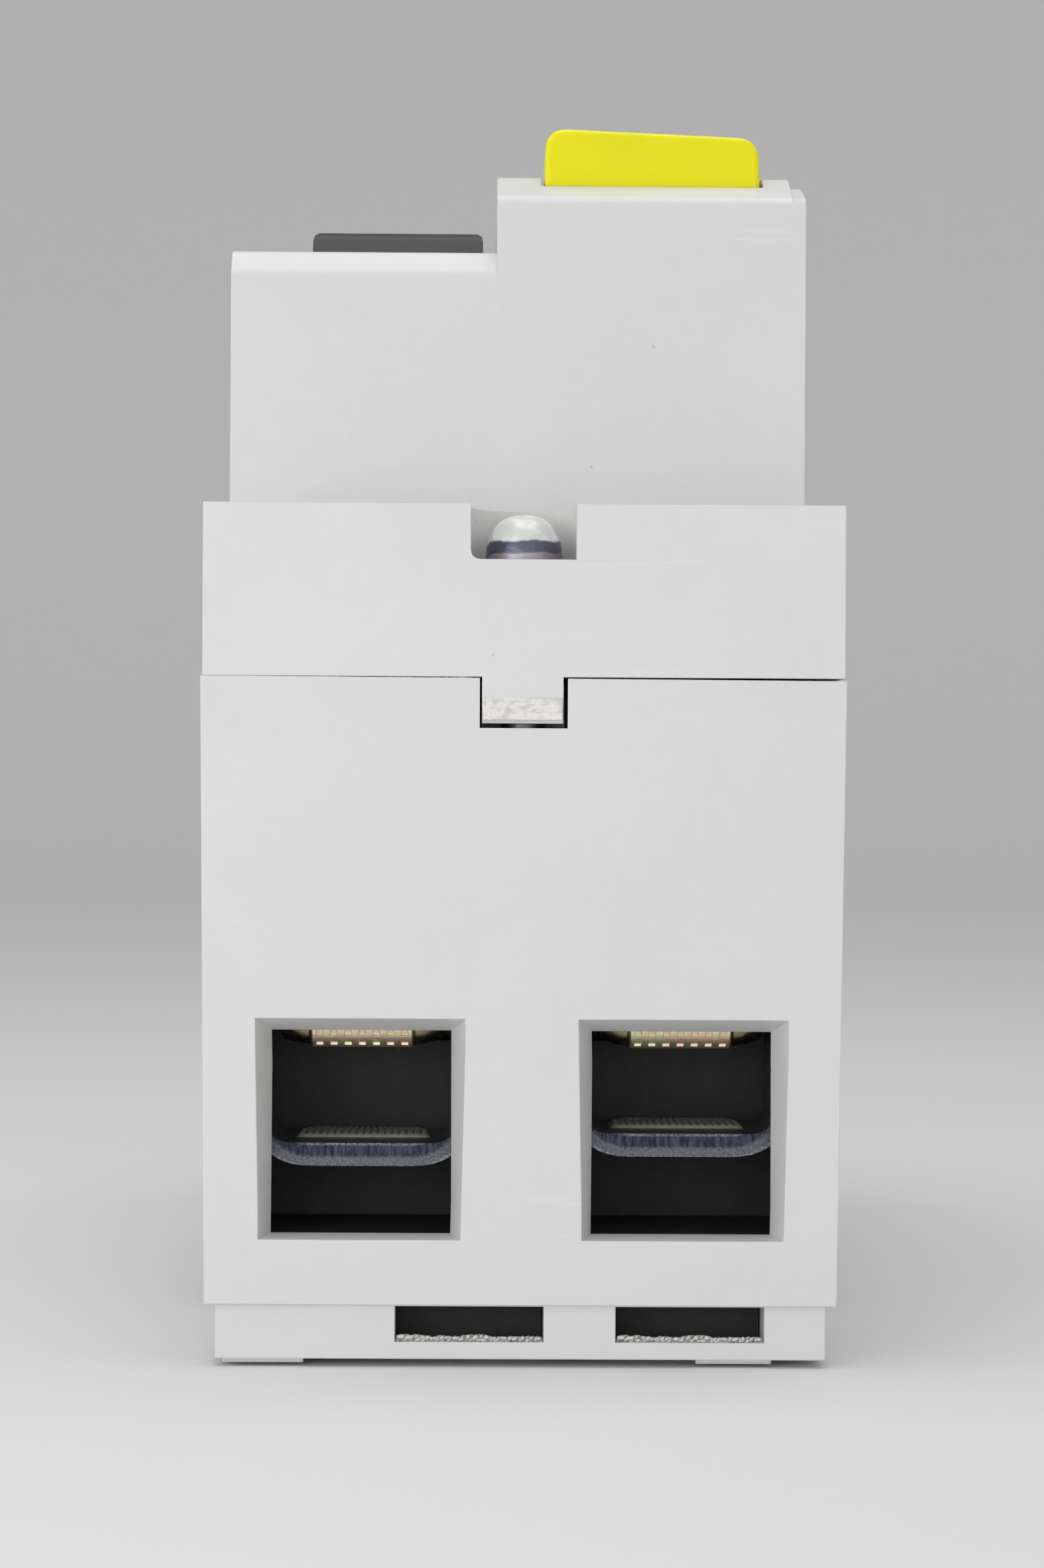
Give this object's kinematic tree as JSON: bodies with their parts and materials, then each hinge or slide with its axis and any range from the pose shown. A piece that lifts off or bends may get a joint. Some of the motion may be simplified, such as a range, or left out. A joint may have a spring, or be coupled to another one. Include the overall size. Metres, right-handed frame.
{
  "type": "gfci breaker",
  "caption": "Narrow residual current circuit breaker for a DIN rail, with a stepped nose, side toggle, sprung test button and rising-cage screw terminals at the ends.",
  "frame": {"origin": "centre of the bounding box's footprint, at the rear of the rail feet", "axes": "+Z from the rail towards the toggle, +Y from the fixed-hook (line) end to the clip (load) end, +X towards the test button side"},
  "size_m": [0.036, 0.085, 0.0728],
  "materials": {
    "base_plastic": "fine satin texture, slightly warm white grey",
    "cover_plastic": "fine satin texture, white grey",
    "clip_plastic": "satin",
    "toggle_plastic": "semi-gloss moulded",
    "button_plastic": "glossy moulded",
    "liner_plastic": "dull moulded",
    "carrier_plastic": "dull moulded",
    "relay_plastic": "dull moulded",
    "bracket_plastic": "dull moulded",
    "chute_fibre": "vulcanised fibre with steel plates",
    "label_film": "smooth printed film, blank",
    "cage_zinc": "zinc plated, sheared edges",
    "screw_zinc": "zinc plated",
    "cover_screw_steel": "bright polished",
    "frame_steel": "rolled sheet",
    "pin_steel": "ground",
    "spring_steel": "drawn wire",
    "plate_brass": "pale gold passivated",
    "contact_copper": "bright copper",
    "contact_silver": "silver alloy",
    "lead_blue": "insulated flexible lead",
    "lead_brown": "insulated flexible lead",
    "ring_tape": "taped toroid",
    "resistor_body": "lacquered"
  },
  "bodies": {
    "housing": {"base_housing": "base_plastic", "cover_housing": "cover_plastic", "line_terminal_liner": "liner_plastic", "load_terminal_liner": "liner_plastic", "trip_relay_case": "relay_plastic", "window_plug_left": "relay_plastic", "window_plug_right": "relay_plastic", "test_bracket": "bracket_plastic", "arc_chute_left": "chute_fibre", "arc_chute_right": "chute_fibre", "rating_label": "label_film", "line_cover_screw": "cover_screw_steel", "load_cover_screw": "cover_screw_steel", "mechanism_frame": "frame_steel", "carrier_pivot_pin": "pin_steel", "toggle_pin": "pin_steel", "trip_lever_pin": "pin_steel", "test_button_spring": "spring_steel", "fixed_contact_left": "plate_brass", "fixed_contact_right": "plate_brass", "load_plate_left": "plate_brass", "load_plate_right": "plate_brass", "fixed_contact_tip_left": "contact_silver", "fixed_contact_tip_right": "contact_silver", "test_contact_stud": "contact_silver", "pole_lead_left": "lead_blue", "pole_lead_right": "lead_brown", "transformer_ring": "ring_tape", "test_resistor": "resistor_body"},
    "toggle": {"toggle_handle": "toggle_plastic", "toggle_spring": "spring_steel"},
    "link": {"toggle_link": "pin_steel"},
    "carrier": {"contact_carrier": "carrier_plastic", "moving_contact_left": "contact_copper", "moving_contact_right": "contact_copper", "moving_contact_tip_left": "contact_silver", "moving_contact_tip_right": "contact_silver", "contact_spring_left": "spring_steel", "contact_spring_right": "spring_steel"},
    "test_button": {"test_button": "button_plastic"},
    "test_blade": {"test_blade": "plate_brass"},
    "relay_plunger": {"relay_plunger": "pin_steel"},
    "trip_lever": {"trip_lever": "bracket_plastic"},
    "din_clip": {"din_clip": "clip_plastic"},
    "line_cage_left": {"line_cage_left": "cage_zinc"},
    "line_screw_left": {"line_terminal_screw_left": "screw_zinc"},
    "line_cage_right": {"line_cage_right": "cage_zinc"},
    "line_screw_right": {"line_terminal_screw_right": "screw_zinc"},
    "load_cage_left": {"load_cage_left": "cage_zinc"},
    "load_screw_left": {"load_terminal_screw_left": "screw_zinc"},
    "load_cage_right": {"load_cage_right": "cage_zinc"},
    "load_screw_right": {"load_terminal_screw_right": "screw_zinc"}
  },
  "joints": [
    {"name": "toggle_tilt", "type": "hinge", "parent": "housing", "child": "toggle", "pos_m": [-0.0083, 0, 0.0528], "axis": [1, 0, 0], "range_deg": [0, 56]},
    {"name": "link_swing", "type": "hinge", "parent": "toggle", "child": "link", "pos_m": [-0.0086, -0.00671, 0.05082], "axis": [1, 0, 0], "range_deg": [-80.5, 0.5]},
    {"name": "carrier_swing", "type": "hinge", "parent": "housing", "child": "carrier", "pos_m": [0, -0.0025, 0.018], "axis": [1, 0, 0], "range_deg": [-0.3, 20.3]},
    {"name": "test_press", "type": "slide", "parent": "housing", "child": "test_button", "axis": [0, 0, -1], "range_m": [0, 0.0012], "stiffness_N_per_m": 1200, "springref_m": -0.001, "deforming": ["test_button_spring"]},
    {"name": "test_blade_flex", "type": "hinge", "parent": "housing", "child": "test_blade", "pos_m": [0.0081, -0.0068, 0.0568], "axis": [1, 0, 0], "range_deg": [-0.1, 7.4]},
    {"name": "relay_strike", "type": "slide", "parent": "housing", "child": "relay_plunger", "axis": [0, 0, 1], "range_m": [0, 0.0012], "stiffness_N_per_m": 300, "springref_m": -0.001},
    {"name": "trip_swing", "type": "hinge", "parent": "housing", "child": "trip_lever", "pos_m": [-0.0117, 0.0068, 0.0335], "axis": [1, 0, 0], "range_deg": [-0.1, 9.8]},
    {"name": "rail_clip_slide", "type": "slide", "parent": "housing", "child": "din_clip", "axis": [0, 1, 0], "range_m": [0, 0.004]},
    {"name": "line_cage_left_rise", "type": "slide", "parent": "housing", "child": "line_cage_left", "axis": [0, 0, 1], "range_m": [-0.0032, 0.0042]},
    {"name": "line_screw_left_turn", "type": "hinge", "parent": "housing", "child": "line_screw_left", "pos_m": [-0.009, -0.0351, 0.033], "axis": [0, 0, 1], "range_deg": [-1980, 1520]},
    {"name": "line_cage_right_rise", "type": "slide", "parent": "housing", "child": "line_cage_right", "axis": [0, 0, 1], "range_m": [-0.0032, 0.0042]},
    {"name": "line_screw_right_turn", "type": "hinge", "parent": "housing", "child": "line_screw_right", "pos_m": [0.009, -0.0351, 0.033], "axis": [0, 0, 1], "range_deg": [-1980, 1520]},
    {"name": "load_cage_left_rise", "type": "slide", "parent": "housing", "child": "load_cage_left", "axis": [0, 0, 1], "range_m": [-0.0032, 0.0042]},
    {"name": "load_screw_left_turn", "type": "hinge", "parent": "housing", "child": "load_screw_left", "pos_m": [-0.009, 0.0351, 0.033], "axis": [0, 0, 1], "range_deg": [-1980, 1520]},
    {"name": "load_cage_right_rise", "type": "slide", "parent": "housing", "child": "load_cage_right", "axis": [0, 0, 1], "range_m": [-0.0032, 0.0042]},
    {"name": "load_screw_right_turn", "type": "hinge", "parent": "housing", "child": "load_screw_right", "pos_m": [0.009, 0.0351, 0.033], "axis": [0, 0, 1], "range_deg": [-1980, 1520]}
  ],
  "couplings": [
    {"joint": "link_swing", "follows": "toggle_tilt", "ratio": -1.425},
    {"joint": "carrier_swing", "follows": "toggle_tilt", "ratio": 0.35714},
    {"joint": "test_blade_flex", "follows": "test_press", "rad_per_m": 103.1},
    {"joint": "trip_swing", "follows": "relay_strike", "rad_per_m": 140},
    {"joint": "line_screw_left_turn", "follows": "line_cage_left_rise", "rad_per_m": -7854},
    {"joint": "line_screw_right_turn", "follows": "line_cage_right_rise", "rad_per_m": -7854},
    {"joint": "load_screw_left_turn", "follows": "load_cage_left_rise", "rad_per_m": -7854},
    {"joint": "load_screw_right_turn", "follows": "load_cage_right_rise", "rad_per_m": -7854}
  ]
}
